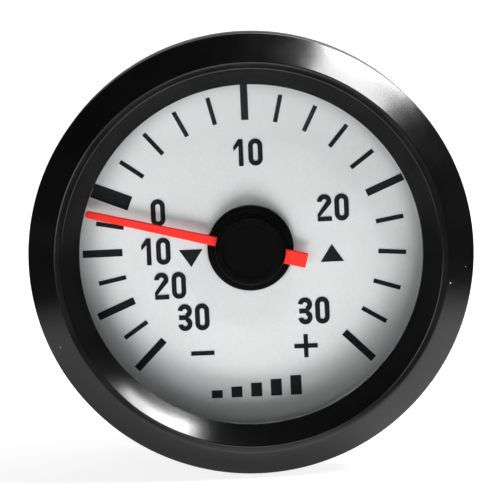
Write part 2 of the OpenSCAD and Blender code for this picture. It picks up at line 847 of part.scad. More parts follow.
// Hairspring: a flat spiral that takes up the play in the teeth
collet_wall = 0.8;
hairspring_in = arbor_d / 2 + collet_wall + running_gap;
hairspring_out = 5.2;
stud_pin_r = 0.6;
collet_z = sector_z + sector_t + pinion_half;
hairspring_z = collet_z + end_play;
spiral_steps = 28;
spiral_a = 35;
function spiral(r_off) = [for (k = [0 : hairspring_n * spiral_steps])
    let (t = k / (hairspring_n * spiral_steps), a = spiral_a + 360 * hairspring_n * t,
        r = hairspring_in + hairspring_t / 2 + (hairspring_out - hairspring_in) * t + r_off)
    r * [cos(a), sin(a)]];
function reverse(v) = [for (k = [len(v) - 1 : -1 : 0]) v[k]];

module hairspring() {
    color("goldenrod") gauge_frame() plate(hairspring_z, hairspring_w) {
        polygon(concat(spiral(-hairspring_t / 2), reverse(spiral(hairspring_t / 2))));
    }
}

module hairspring_collet() {
    color("goldenrod") gauge_frame() {
        ring(arbor_d / 2 + collet_wall, arbor_d / 2, collet_z, hairspring_z + hairspring_w);
    }
}

// Stud: hangs from the front plate and holds the hairspring's outer end
module hairspring_stud() {
    color("silver") gauge_frame() rotate([0, 0, spiral_a]) {
        translate([hairspring_out + hairspring_t + stud_pin_r, 0]) disc(stud_pin_r, hairspring_z, plate2_z);
    }
}

// Socket: holds the tube, carries the movement and leads pressure to the tube
module pressure_socket() {
    arm_l = tube_r + tube_w / 2 + case_wall;
    color("goldenrod") gauge_frame() difference() {
        union() {
            disc(socket_d / 2, floor_z, plate1_z);
            translate([-arm_w / 2, -arm_l, floor_z]) cube([arm_w, arm_l, plate1_z - floor_z]);
            disc(stem_d / 2, stem_end, plate1_z);
        }
        disc(passage_d / 2, stem_end - cut, tube_z);
        disc(spigot_d / 2 + thread_gap, stem_end - cut, stem_end + spigot_l);
        translate([0, 0, tube_z]) rotate([90, 0, 0]) cylinder(d = passage_d, h = tube_r);
        translate([0, -tube_r, tube_z]) rotate([0, -90, 0]) {
            cylinder(d = passage_d - tube_wall, h = arm_w / 3);
        }
        tube_sweep(tube_root_a - 2 * tip_span_a, tube_root_a) tube_section(0);
        for (s = [-1, 1]) {
            translate([s * socket_screw_x, 0]) disc(screw_d / 2, plate1_z - screw_l, plate1_z + cut);
        }
        for (p = pillar_at) translate(p) disc(pillar_d / 2, plate1_z - plate_t, plate1_z + cut);
    }
}

module stem_washer() {
    color("silver") gauge_frame() {
        ring(stem_d / 2 + stem_washer_w, stem_d / 2 + seat_gap, -case_depth - stem_washer_t, -case_depth);
    }
}

module stem_nut() {
    nut_z = -case_depth - stem_washer_t;
    color("goldenrod") gauge_frame() difference() {
        hexagon(stem_nut_af, nut_z - stem_nut_t, nut_z);
        disc(stem_d / 2 + thread_gap, nut_z - stem_nut_t - cut, nut_z + cut);
    }
}

// Nipple: a hexagon, a thread in the stem and a grooved spout for a hose
module hose_nipple() {
    crest_r0 = nipple_d / 2;
    root_r = crest_r0 - groove_d;
    lead = crest_r0 - passage_d / 2 - groove_d;
    land_end = nipple_z - nipple_land;
    color("goldenrod") gauge_frame() difference() {
        union() {
            disc(spigot_d / 2, stem_end, stem_end + spigot_l);
            hexagon(nipple_af, nipple_z, stem_end);
            disc(crest_r0, land_end, nipple_z);
            disc(root_r, nipple_z - nipple_l + lead, nipple_z);
            for (k = [0 : crest_n - 1]) {
                disc(crest_r0, land_end - (k + 1) * crest_l, land_end - (k + 0.5) * crest_l);
            }
            translate([0, 0, nipple_z - nipple_l]) cylinder(r1 = root_r - lead / 2, r2 = root_r, h = lead);
        }
        disc(passage_d / 2, nipple_z - nipple_l - cut, stem_end + spigot_l + cut);
    }
}

module both_studs() {
    for (s = [-1, 1]) translate([s * stud_x, 0]) children();
}

module mounting_studs() {
    color("silver") gauge_frame() both_studs() {
        disc(stud_head_d / 2, floor_z, floor_z + stud_head_t);
        disc(stud_d / 2, -case_depth - stud_l, floor_z);
    }
}

// Clamp: a bent strip whose feet press on the back of the panel
module clamp_bracket() {
    leg_x = seat_r + clamp_side_gap;
    leg_h = -clamp_foot_gap - clamp_back;
    color("silver") gauge_frame() difference() {
        union() {
            translate([-leg_x - clamp_t, -clamp_w / 2, clamp_back]) {
                cube([2 * (leg_x + clamp_t), clamp_w, clamp_t]);
            }
            disc(clamp_boss_r, clamp_back, clamp_z);
            for (x = [-leg_x - clamp_t, leg_x]) {
                translate([x, -clamp_w / 2, clamp_back]) cube([clamp_t, clamp_w, leg_h]);
            }
        }
        disc(clamp_hole_r, clamp_back - cut, clamp_z + cut);
        both_studs() disc(stud_d / 2 + seat_gap, clamp_back - cut, clamp_z + cut);
    }
}

// Spring washers, each split on one side
module lock_washers() {
    washer_r = stud_d / 2 + lock_washer_w;
    color("silver") gauge_frame() both_studs() difference() {
        ring(washer_r, stud_d / 2 + seat_gap, clamp_back - lock_washer_t, clamp_back);
        translate([-lock_washer_t / 4, 0, clamp_back - lock_washer_t - cut]) {
            cube([lock_washer_t / 2, 2 * washer_r, lock_washer_t + 2 * cut]);
        }
    }
}

module thumb_nut(side) {
    nut_z = clamp_back - lock_washer_t;
    flute_r = flute_depth * 1.4;
    color("goldenrod") gauge_frame() translate([side * stud_x, 0]) difference() {
        disc(thumb_r, nut_z - thumb_l, nut_z);
        disc(stud_d / 2 + running_gap, nut_z - thumb_l - cut, nut_z + cut);
        for (k = [0 : thumb_n - 1]) rotate([0, 0, k * 360 / thumb_n]) {
            translate([thumb_r + flute_r - flute_depth, 0]) disc(flute_r, nut_z - thumb_l - cut, nut_z + cut);
        }
    }
}

module thumb_nut_left() {
    thumb_nut(-1);
}

module thumb_nut_right() {
    thumb_nut(1);
}

// Lamp: a holder pushed into the rear wall, with its bulb and terminals
bulb_seat_share = 0.8;
bulb_seat_d = bulb_d * bulb_seat_share;
bulb_seat_l = 2;
module bulb_holder() {
    top = -case_depth + holder_neck_l;
    color("ivory") gauge_frame() translate(lamp_at) difference() {
        union() {
            disc(holder_neck_d / 2, -case_depth, top);
            disc(holder_r, -case_depth - holder_t, -case_depth);
        }
        disc(bulb_seat_d / 2, top - bulb_seat_l, top + cut);
    }
}

module bulb() {
    top = -case_depth + holder_neck_l;
    color("white", 0.5) gauge_frame() translate(lamp_at) {
        disc(bulb_seat_d / 2, top - bulb_seat_l, top);
        disc(bulb_d / 2, top, top + bulb_l - bulb_d / 2);
        translate([0, 0, top + bulb_l - bulb_d / 2]) intersection() {
            sphere(d = bulb_d);
            disc(bulb_d, 0, bulb_d);
        }
    }
}

module bulb_terminals() {
    back = -case_depth - holder_t;
    color("goldenrod") gauge_frame() translate(lamp_at) for (s = [-1, 1]) {
        translate([s * holder_r / 2 - terminal_t / 2, -terminal_w / 2, back - terminal_l]) {
            cube([terminal_t, terminal_w, terminal_l]);
        }
    }
}

bezel();
lens();
lens_gasket();
rim_ring();
dial();
dial_marks();
dial_numerals();
dial_symbols();
pointer_blade();
pointer_hub();
pointer_cap();
case_shell();
pressure_socket();
bourdon_tube();
tube_tip();
link();
link_pin();
rear_plate();
front_plate();
plate_pillars();
plate_screws();
socket_screws();
sector_gear();
sector_arbor();
pinion_arbor();
hairspring();
hairspring_collet();
hairspring_stud();
stem_washer();
stem_nut();
hose_nipple();
mounting_studs();
clamp_bracket();
lock_washers();
thumb_nut_left();
thumb_nut_right();
bulb_holder();
bulb();
bulb_terminals();
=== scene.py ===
# %% [markdown]
# # A boost gauge, dressed for its picture
# The gauge is a Bourdon tube instrument in a round case. Its solids are already built
# and packed. This lesson lays the real finishes over them, remodels the pieces that a
# reader sees close up, and sets up a small studio like the one in the photograph.

import math

import bpy
from mathutils import Matrix, Vector


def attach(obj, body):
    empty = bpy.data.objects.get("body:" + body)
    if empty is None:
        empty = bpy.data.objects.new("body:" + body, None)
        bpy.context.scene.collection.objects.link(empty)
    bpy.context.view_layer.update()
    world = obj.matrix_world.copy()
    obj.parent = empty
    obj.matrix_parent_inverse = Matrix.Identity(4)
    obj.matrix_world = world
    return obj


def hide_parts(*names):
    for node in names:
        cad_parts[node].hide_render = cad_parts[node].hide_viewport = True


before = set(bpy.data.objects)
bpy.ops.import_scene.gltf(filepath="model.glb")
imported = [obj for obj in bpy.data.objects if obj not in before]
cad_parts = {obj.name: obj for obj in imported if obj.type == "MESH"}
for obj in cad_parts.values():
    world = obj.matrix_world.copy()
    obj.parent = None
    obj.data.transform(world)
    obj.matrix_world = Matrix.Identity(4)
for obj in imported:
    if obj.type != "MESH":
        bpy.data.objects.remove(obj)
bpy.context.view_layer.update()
print("CAD nodes:", len(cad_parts))

# %% [markdown]
# ## One way to give a place
# The gauge's drawing counts millimetres from the dial's axis: x to the right, y up, and
# z out of the panel towards the reader. Blender counts metres and looks along +Y, so one
# function turns a drawn place into Blender's. Every size below is written as drawn.
# Points closer than MERGE become one, and edges that turn by more than SHARP stay sharp.

# %% Millimetres and the gauge's own frame
MM = 0.001
MERGE = 0.002 * MM
SHARP = 40


def place(x, y, z):
    return Vector((x, -z, y)) * MM


def alone(piece):
    bpy.ops.object.select_all(action="DESELECT")
    piece.select_set(True)
    bpy.context.view_layer.objects.active = piece


print("one millimetre towards the reader is", tuple(place(0, 0, 1)))

# %% [markdown]
# ## Turned pieces
# Most of a gauge is turned or spun: the bezel, the glass, the case, the hub and every
# threaded part. A lathe needs only the outline from the axis to the edge, so this
# helper starts a one-point mesh, extrudes it along the outline, and spins it round the
# axis. The outline's corners are rounded first, because no real edge is sharp, and a
# rounded edge is what catches the light.

# %% Outline with rounded corners
def rounded(corners, steps=5):
    """Each corner is (r, z) or (r, z, radius). Returns the outline's points."""
    count, outline = len(corners), []
    for k, corner in enumerate(corners):
        here = Vector(corner[:2])
        radius = corner[2] if len(corner) > 2 else 0
        if not radius:
            outline.append(here)
            continue
        back = (Vector(corners[k - 1][:2]) - here).normalized()
        ahead = (Vector(corners[(k + 1) % count][:2]) - here).normalized()
        half = back.angle(ahead) / 2
        reach = radius / math.tan(half)
        middle = here + (back + ahead).normalized() * (radius / math.sin(half))
        start, end = here + back * reach - middle, here + ahead * reach - middle
        turn = math.pi - 2 * half
        side = 1 if start.x * end.y - start.y * end.x > 0 else -1
        for s in range(steps + 1):
            a = side * turn * s / steps
            outline.append(middle + Vector((
                start.x * math.cos(a) - start.y * math.sin(a),
                start.x * math.sin(a) + start.y * math.cos(a),
            )))
    return outline


square = rounded([(0, 0, 1), (4, 0, 1), (4, 4, 1), (0, 4, 1)])
print("a rounded square has", len(square), "points")


# %% Lathe
def tidy(piece, sharp=SHARP):
    """Merge what meets, turn the faces outwards, shade all but the sharp edges smooth."""
    alone(piece)
    bpy.ops.object.mode_set(mode="EDIT")
    bpy.ops.mesh.select_all(action="SELECT")
    bpy.ops.mesh.remove_doubles(threshold=MERGE)
    bpy.ops.mesh.normals_make_consistent(inside=False)
    bpy.ops.object.mode_set(mode="OBJECT")
    bpy.ops.object.transform_apply(location=True, rotation=True, scale=True)
    bpy.ops.object.shade_smooth_by_angle(angle=math.radians(sharp))
    return piece


def draw_line(name, points, shut=True):
    """A mesh line through points in Blender's frame, left in edit mode and all selected."""
    bpy.ops.object.select_all(action="DESELECT")
    bpy.ops.mesh.primitive_plane_add(size=MM, location=points[0])
    piece = bpy.context.object
    piece.name = piece.data.name = name
    bpy.ops.object.mode_set(mode="EDIT")
    bpy.ops.mesh.merge(type="CENTER")
    for here, there in zip(points, points[1:] + points[:1] if shut else points[1:]):
        bpy.ops.mesh.extrude_vertices_move(TRANSFORM_OT_translate={"value": there - here})
    bpy.ops.mesh.select_all(action="SELECT")
    return piece


def turned(name, corners, at=(0, 0), steps=96, sharp=SHARP, shut=True):
    """Spin an outline of (r, z) corners round the axis that stands at a place on the dial."""
    points = [place(at[0] + r, at[1], z) for r, z in rounded(corners)]
    piece = draw_line(name, points, shut)
    bpy.ops.mesh.spin(
        steps=steps, angle=2 * math.pi, center=place(*at, 0), axis=(0, 1, 0))
    bpy.ops.object.mode_set(mode="OBJECT")
    tidy(piece, sharp)
    print(name, len(piece.data.polygons), "faces")
    return piece


# %% Sign a piece on
def mounted(piece, body, slot, *nodes):
    """Ride on a body and stand for its CAD nodes; the slot is not used."""
    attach(piece, body)
    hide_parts(*nodes)


# %% [markdown]
# ## Bezel
# The bezel is a ring spun from sheet steel. Its outer slope climbs to a narrow crest,
# an inner slope falls to the glass, and the back edge is rolled over the case. A lathe
# outline gives all of that at once. The crest is nearly flat, so it mirrors the dark
# room and reads as a black line, and the side wall draws in a little towards the panel,
# as the photograph shows no wall above the upper edge.

# %% Spin the bezel
bezel = turned("bezel_ring", [
    (29.6, 0, 0.4), (30, 6.8, 0.5), (26.5, 9.97, 0.45), (25.6, 9.97, 0.45),
    (23.1, 7.1, 0.3), (23.1, 6.3, 0.3), (25.9, 6.3), (26, 9.1, 0.2), (29.2, 6.3, 0.3),
    (29.04, 2.8), (29.04, 0.8), (26.7, 0.8, 0.2), (26.7, 0, 0.2),
], steps=256, sharp=50)
mounted(bezel, "gauge", "bezel_paint", "bezel")
foremost = min(point.co.y for point in bezel.data.vertices)
print("bezel stands", round(-foremost / MM, 2), "mm proud")

# %% [markdown]
# ## Glass, gasket and rim
# The glass is a flat disc with ground edges. A thin gasket seals it under the bezel's
# lip, and a moulded ring carries it above the dial.

# %% Turn the glass and its seat
DIAL_FACE = -0.4
glass = turned("lens_glass", [
    (0, 3.9), (25.6, 3.9, 0.3), (25.6, 5.9, 0.3), (0, 5.9),
], steps=192, shut=False)
mounted(glass, "gauge", "clear_glass", "lens")
gasket = turned("lens_seal", [
    (23.2, 5.9, 0.08), (25.3, 5.9, 0.08), (25.3, 6.3, 0.08), (23.2, 6.3, 0.08),
], steps=160)
mounted(gasket, "gauge", "black_rubber", "lens_gasket")
rim = turned("rim_moulding", [
    (24.4, DIAL_FACE, 0.1), (24.95, DIAL_FACE, 0.1), (24.95, 1.8), (29, 1.8, 0.2),
    (29, 2.8, 0.3), (27, 2.8, 0.3), (27, 5.9, 0.3), (25.7, 5.9, 0.2), (25.7, 3.9),
    (24.4, 3.9, 0.3),
], steps=160)
mounted(rim, "gauge", "black_plastic", "rim_ring")

# %% [markdown]
# ## Dial plate
# The dial is a thin aluminium disc, satin finished and lacquered, with a hole for the
# arbor. Its marks and signs stay as the CAD model draws them, a raised film of ink.

# %% Turn the dial plate
dial = turned("dial_plate", [
    (1.5, -1.2, 0.1), (24.9, -1.2, 0.15), (24.9, DIAL_FACE, 0.15), (1.5, DIAL_FACE, 0.1),
], steps=160)
mounted(dial, "gauge", "silver_dial", "dial")

# %% [markdown]
# ## Bolder numbers
# The CAD numbers are a little lighter than the printed ones in the photograph. A copy is
# swelled all round by a few hundredths of a millimetre, as ink spreads under a screen.

# %% Spread the ink of the numbers
SPREAD = 0.07
alone(bpy.data.objects["dial_numerals"])
bpy.ops.object.duplicate()
numbers = bpy.context.object
numbers.name = numbers.data.name = "printed_numbers"
bpy.ops.object.transform_apply(location=True, rotation=True, scale=True)
bpy.ops.object.mode_set(mode="EDIT")
bpy.ops.mesh.select_all(action="SELECT")
bpy.ops.mesh.remove_doubles(threshold=MERGE / 2)
bpy.ops.transform.shrink_fatten(value=SPREAD * MM)
bpy.ops.object.mode_set(mode="OBJECT")
mounted(numbers, "gauge", "dial_ink", "dial_numerals")
print("printed_numbers", len(numbers.data.vertices), "vertices")

# %% [markdown]
# ## Pointer
# The blade is a strip of aluminium, stamped to a taper and sprayed red. Its edges are
# slightly rounded by the spray. It is drawn pointing up, as a flat outline that is
# filled and extruded, and then swung to its reading. The swing goes the other way
# without a window, so the angle is given with its own centre.

# %% Cut the blade
READING, REACH = -75.4, 22.9
UNDERSIDE, THICKNESS, SOFT_EDGE = 1.1, 0.6, 0.12


def slab(name, outline, through):
    """A closed outline of places, filled and extruded through a vector."""
    piece = draw_line(name, outline)
    bpy.ops.mesh.remove_doubles(threshold=MERGE)
    bpy.ops.mesh.edge_face_add()
    bpy.ops.mesh.extrude_region_move(TRANSFORM_OT_translate={"value": through})
    bpy.ops.object.mode_set(mode="OBJECT")
    return tidy(piece)


def blade_outline():
    tip_r, root, tail = 0.475, 0.7, 1.0
    right = [(tail, -7.8), (tail, -0.8), (root, -0.3), (tip_r, REACH - tip_r)]
    arc = [(tip_r * math.cos(a), REACH - tip_r + tip_r * math.sin(a))
           for a in (math.radians(d) for d in range(15, 180, 15))]
    left = [(-x, y) for x, y in reversed(right)]
    return right + arc + left


def swung(x, y):
    """A point of the upright pointer, swung to its reading."""
    a = math.radians(READING)
    return x * math.cos(a) + y * math.sin(a), y * math.cos(a) - x * math.sin(a)


blade = slab("pointer_needle", [
    place(*swung(x, y), UNDERSIDE) for x, y in blade_outline()
], place(0, 0, THICKNESS))
edge = blade.modifiers.new("soft edge", "BEVEL")
edge.width, edge.segments, edge.limit_method = SOFT_EDGE * MM, 3, "ANGLE"
bpy.ops.object.modifier_apply(modifier=edge.name)
mounted(blade, "pointer", "pointer_red", "pointer_blade")
print("blade", len(blade.data.polygons), "faces")

# %% [markdown]
# ## Hub and cap
# A plain disc carries the blade, and a moulded cap hides the arbor's end. The cap has a
# rounded rim and a shallow step down to a faint dish, as the thin arcs in the
# photograph show.

# %% Turn the hub and the cap
hub = turned("pointer_disc", [
    (0.8, 0.1, 0.1), (5.85, 0.1, 0.15), (5.85, 1.1, 0.3), (0.8, 1.1, 0.1),
], steps=128)
mounted(hub, "pointer", "hub_black", "pointer_hub")
cap = turned("pointer_button", [
    (0, 2.4), (4.0, 2.4), (4.0, 1.1), (4.775, 1.1, 0.05), (4.775, 3.2, 0.45),
    (3.9, 3.2, 0.3), (3.6, 3.08, 0.3), (0, 3.04),
], steps=128, shut=False)
mounted(cap, "pointer", "hub_black", "pointer_cap")

# %% [markdown]
# ## Holes, prisms and threads
# Three more workshop moves cover the rear of the gauge. A drill is a Boolean difference
# with plain cylinders, a prism is a slab that stands on the dial's plane, and a thread is
# a notched line that the Screw modifier winds along its axis, one pitch a turn.

# %% Drill, mill and wind
def combine(piece, tool, operation):
    cut = piece.modifiers.new(operation.lower(), "BOOLEAN")
    cut.object, cut.operation, cut.solver = tool, operation, "EXACT"
    alone(piece)
    bpy.ops.object.modifier_apply(modifier=cut.name)
    bpy.data.objects.remove(tool)
    return piece


def drilled(piece, holes, z0, z1):
    """Each hole is (x, y, radius), drilled from z0 to z1."""
    for x, y, radius in holes:
        bpy.ops.object.select_all(action="DESELECT")
        bpy.ops.mesh.primitive_cylinder_add(
            vertices=64, radius=radius * MM, depth=(z1 - z0) * MM,
            location=place(x, y, (z0 + z1) / 2), rotation=(math.pi / 2, 0, 0))
        combine(piece, bpy.context.object, "DIFFERENCE")
    return tidy(piece, 35)


def prism(name, outline, z0, z1):
    return slab(name, [place(x, y, z0) for x, y in outline], place(0, 0, z1 - z0))


def thread(name, radius, depth, pitch, z0, z1, at=(0, 0)):
    """A ridge from z0 up to z1, whose roots lie depth below the radius."""
    root, turns = radius - depth, int((z1 - z0) / pitch) - 1
    notch = [
        (root, 0), (root, 0.12), (radius, 0.45), (radius, 0.55), (root, 0.88), (root, 1),
    ]
    piece = draw_line(name, [place(r, 0, z0 + pitch * s) for r, s in notch], shut=False)
    bpy.ops.object.mode_set(mode="OBJECT")
    bpy.ops.object.transform_apply(location=True, rotation=True, scale=True)
    wind = piece.modifiers.new("wind", "SCREW")
    wind.axis, wind.angle, wind.screw_offset = "Y", 2 * math.pi, -pitch * MM
    wind.steps = wind.render_steps = 28
    wind.iterations, wind.use_merge_vertices = turns, True
    bpy.ops.object.modifier_apply(modifier=wind.name)
    piece.location = place(*at, 0)
    return tidy(piece, 45)


def joined(name, pieces):
    bpy.ops.object.select_all(action="DESELECT")
    for piece in pieces:
        piece.select_set(True)
    bpy.context.view_layer.objects.active = pieces[0]
    bpy.ops.object.join()
    pieces[0].name = pieces[0].data.name = name
    return pieces[0]


def softened(piece, width):
    edge = piece.modifiers.new("soft edge", "BEVEL")
    edge.width, edge.segments, edge.limit_method = width * MM, 2, "ANGLE"
    edge.angle_limit = math.radians(SHARP)
    alone(piece)
    bpy.ops.object.modifier_apply(modifier=edge.name)
    bpy.ops.object.shade_smooth_by_angle(angle=math.radians(SHARP))
    return piece


# %% [markdown]
# ## Case
# The case is drawn steel: a cup with a flange that the bezel crimps over, a seat that
# fits the panel's hole, and a rear edge with the generous radius that deep drawing
# leaves. Four holes are pierced in the rear wall for the stem, the studs and the lamp.

# %% Draw the case and pierce it
LAMP_RADIUS, LAMP_ANGLE = 14.8, math.radians(114)
LAMP = (LAMP_RADIUS * math.cos(LAMP_ANGLE), LAMP_RADIUS * math.sin(LAMP_ANGLE))
STUD_X = 17
case = turned("case_cup", [
    (0, -27), (25.5, -27, 1.6), (25.5, -6), (26, -5.5, 0.2), (26, 0), (26.6, 0),
    (26.6, 0.8), (29, 0.8, 0.1), (29, 1.8, 0.1), (25, 1.8, 0.1), (25, -1.2),
    (24, -1.2, 0.2), (24, -25, 1), (0, -25),
], steps=160, shut=False)
drilled(case, [
    (0, 0, 4.1), (-STUD_X, 0, 2.05), (STUD_X, 0, 2.05), (*LAMP, 3.6),
], -30, -22)
mounted(case, "gauge", "case_paint", "case_shell")
print("case", len(case.data.polygons), "faces")

# %% [markdown]
# ## Pressure fitting
# The socket is turned brass with a milled arm that holds the Bourdon tube. Its stem
# comes out through the case and is threaded for a nut. The hexagons are prisms whose
# corners are turned off at 30 degrees, as a real nut's are, by keeping only what also
# lies inside a turned blank. The prism is longer than the blank at both ends, because a
# Boolean of two end faces that lie in one plane can lose the whole piece.

# %% Hexagon blank
FACE_SHARE, RIM_SHARE, DROP_SHARE = 0.98, 1.01, 1.3
OVERRUN = 1


def hexagon(name, flats, z0, z1):
    """A hexagon of that width over its flats, from z0 to z1, with turned corners."""
    corner = flats / 2 / math.cos(math.radians(30))
    points = [(corner * math.cos(math.radians(a)), corner * math.sin(math.radians(a)))
              for a in range(0, 360, 60)]
    drop = (corner - flats / 2) * math.tan(math.radians(30))
    face, rim = flats / 2 * FACE_SHARE, corner * RIM_SHARE
    blank = turned(name + "_blank", [
        (0, z0), (face, z0), (rim, z0 + drop * DROP_SHARE),
        (rim, z1 - drop * DROP_SHARE), (face, z1), (0, z1),
    ], shut=False)
    longer = prism(name, points, z0 - OVERRUN, z1 + OVERRUN)
    return combine(longer, blank, "INTERSECT")


# %% Socket, nut and nipple
socket = turned("socket_body", [
    (0, -16), (6, -16, 0.3), (6, -25, 0.3), (3.55, -25), (3.55, -35.6, 0.1),
    (3.2, -36, 0.1), (2.85, -36), (2.85, -31), (0, -31),
], shut=False)
arm = prism("socket_arm", [(-4, -21.5), (4, -21.5), (4, 0), (-4, 0)], -25, -16)
socket = joined("pressure_fitting", [
    socket, softened(arm, 0.3), thread("stem_thread", 4, 0.5, 1, -36, -25),
])
mounted(socket, "gauge", "brass", "pressure_socket")

nut = drilled(hexagon("stem_hexagon", 12, -31, -27.8), [(0, 0, 4.05)], -33, -26)
mounted(softened(nut, 0.08), "gauge", "brass", "stem_nut")
washer = turned("stem_ring", [
    (4.1, -27.8, 0.15), (6.8, -27.8, 0.2), (6.8, -27, 0.2), (4.1, -27, 0.15),
])
mounted(washer, "gauge", "zinc_steel", "stem_washer")


def barb(z):
    """A barb that rises to z, drawn from the tip of the nipple inwards."""
    return [
        (1.95, z - 1.0), (2.05, z - 0.98), (2.4, z - 0.05, 0.05), (1.95, z - 0.02, 0.08),
    ]


spout = turned("nipple_spout", [
    (0.8, -51.4, 0.1), (1.45, -51.4, 0.1), (1.95, -50.25, 0.2), *barb(-48), *barb(-46),
    *barb(-44), (1.95, -43, 0.1), (2.4, -43, 0.15), (2.4, -39), (2.8, -38.9),
    (2.8, -31.2, 0.2), (0.8, -31.2),
], steps=64)
flats = drilled(hexagon("nipple_hexagon", 8, -39, -36), [(0, 0, 1)], -41, -34)
nipple = joined("hose_spout", [spout, softened(flats, 0.08)])
mounted(nipple, "gauge", "brass", "hose_nipple")

# %% [markdown]
# ## Studs
# Two cold-headed studs are set in the rear wall. One is made, with a rolled metric
# thread, a chamfered end and its head inside the case, and then copied to the other side.

# %% Make one stud and copy it
def copied(piece, name, x):
    """A copy that stands x millimetres to the right."""
    alone(piece)
    bpy.ops.object.duplicate()
    other = bpy.context.object
    other.name = other.data.name = name
    other.location = place(x, 0, 0)
    bpy.ops.object.transform_apply(location=True)
    return other


stud = joined("stud_left", [
    turned("stud_rod", [
        (0, -23.5), (3.5, -23.5, 0.4), (3.5, -25, 0.1), (1.63, -25), (1.63, -40.7),
        (1.2, -41), (0, -41),
    ], at=(-STUD_X, 0), steps=64, shut=False),
    thread("stud_thread", 2, 0.38, 0.7, -41, -25, at=(-STUD_X, 0)),
])
studs = joined("threaded_studs", [stud, copied(stud, "stud_right", 2 * STUD_X)])
mounted(studs, "gauge", "zinc_steel", "mounting_studs")
print("studs", len(studs.data.polygons), "faces")

# %% [markdown]
# ## Clamp
# The clamp is a strip of zinc-plated steel with its two ends bent forwards, whose feet
# pull the bezel down on the panel. The strip is drawn in side view with its bend radii
# and extruded over its width. The round middle is added and the holes are pierced, and
# a small bevel breaks the sheared edges.

# %% Bend the clamp
STRIP, STRIP_REAR, STRIP_FRONT = 14, -31.5, -30.3
profile = rounded([
    (-28.2, -3.5), (-28.2, STRIP_REAR, 2.2), (28.2, STRIP_REAR, 2.2), (28.2, -3.5),
    (27, -3.5), (27, STRIP_FRONT, 1), (-27, STRIP_FRONT, 1), (-27, -3.5),
])
clamp = slab("clamp_strip", [place(p.x, -STRIP / 2, p.y) for p in profile],
             place(0, STRIP, 0))
boss = turned("clamp_middle", [
    (0, STRIP_REAR), (10.2, STRIP_REAR), (10.2, STRIP_FRONT), (0, STRIP_FRONT),
], steps=128, shut=False)
combine(clamp, boss, "UNION")
drilled(clamp, [(0, 0, 7.4), (-STUD_X, 0, 2.1), (STUD_X, 0, 2.1)], -33, -28)
mounted(softened(clamp, 0.15), "clamp", "zinc_steel", "clamp_bracket")
print("clamp", len(clamp.data.polygons), "faces")

# %% [markdown]
# ## Spring washers and knurled nuts
# A spring washer is a ring of square wire with a slanted cut. A knurled nut is turned
# with a chamfer at each end, and then every fourth line of its wall is pushed in, which
# leaves eighteen rounded flutes for the fingers.

# %% Cut the spring washers
def spring_washer(name, x):
    ring = turned(name, [
        (2.1, -32.5, 0.1), (3.6, -32.5, 0.12), (3.6, -31.5, 0.12), (2.1, -31.5, 0.1),
    ], at=(x, 0), steps=64)
    bpy.ops.object.select_all(action="DESELECT")
    bpy.ops.mesh.primitive_cube_add(
        size=1, location=place(x, 3, -32), rotation=(0, 0, math.radians(25)),
        scale=(0.5 * MM, 4 * MM, 4 * MM))
    return tidy(combine(ring, bpy.context.object, "DIFFERENCE"))


washers = joined("spring_washers", [
    spring_washer("washer_left", -STUD_X), spring_washer("washer_right", STUD_X),
])
mounted(washers, "clamp", "zinc_steel", "lock_washers")


# %% Turn and flute the knurled nuts
NUT_RADIUS, NUT_STEPS, LINES_A_FLUTE = 4.7, 72, 4


def knurled_nut(name, x):
    nut = turned(name, [
        (2.04, -38), (2.5, -38, 0.1), (4.2, -38, 0.2), (NUT_RADIUS, -37.5, 0.15),
        (NUT_RADIUS, -33.9, 0.1), (4.1, -33.6, 0.1), (4.1, -32.5, 0.2), (2.04, -32.5),
    ], at=(x, 0), steps=NUT_STEPS)
    for lines, depth in (((0,), 0.35), ((1, 3), 0.13)):
        for point in nut.data.vertices:
            arm = point.co - place(x, 0, 0)
            step = round(math.degrees(math.atan2(arm.z, arm.x)) / (360 / NUT_STEPS))
            on_wall = math.hypot(arm.x, arm.z) > (NUT_RADIUS - 0.15) * MM
            point.select = on_wall and step % LINES_A_FLUTE in lines
        for other in (*nut.data.edges, *nut.data.polygons):
            other.select = False
        alone(nut)
        bpy.ops.object.mode_set(mode="EDIT")
        inwards = 1 - depth / NUT_RADIUS
        bpy.ops.transform.resize(
            value=(inwards, 1, inwards), center_override=place(x, 0, 0))
        bpy.ops.object.mode_set(mode="OBJECT")
    return tidy(nut, 25)


for half, x in (("left", -STUD_X), ("right", STUD_X)):
    nut = knurled_nut("knurled_nut_" + half, x)
    mounted(nut, "nut_" + half, "brass", "thumb_nut_" + half)

# %% [markdown]
# ## Lamp
# A small bulb lights the dial from behind. Its nylon holder pushes into the rear wall
# and ends in two brass tabs for the loom's sleeves, each with a hole and a tapered end.

# %% Mould the holder and stamp the tabs
holder = turned("lamp_socket", [
    (0, -26.2), (2, -26.2), (2, -24.2, 0.1), (3.5, -24.2, 0.3), (3.5, -27), (4.3, -27, 0.1),
    (4.3, -28.6, 0.3), (3.1, -28.6, 0.1), (3.0, -28.3, 0.1), (0, -28.3),
], at=LAMP, shut=False)
mounted(holder, "lamp", "lamp_plastic", "bulb_holder")


def tab(name, side):
    """A pierced tab on one side of the lamp, -1 or 1."""
    x, y = LAMP[0] + side * 2.15, LAMP[1]
    wide, thick, taper, root, end = 1.2, 0.5, 0.7, -28.2, -33.1
    outline = [
        (-wide, root), (-wide, end + taper), (-taper, end), (taper, end),
        (wide, end + taper), (wide, root),
    ]
    strip = slab(name, [place(x - thick / 2, y + a, z) for a, z in outline],
                 place(thick, 0, 0))
    bpy.ops.object.select_all(action="DESELECT")
    bpy.ops.mesh.primitive_cylinder_add(
        vertices=32, radius=0.55 * MM, depth=3 * MM, location=place(x, y, end + 1.9),
        rotation=(0, math.pi / 2, 0))
    return softened(combine(strip, bpy.context.object, "DIFFERENCE"), 0.06)


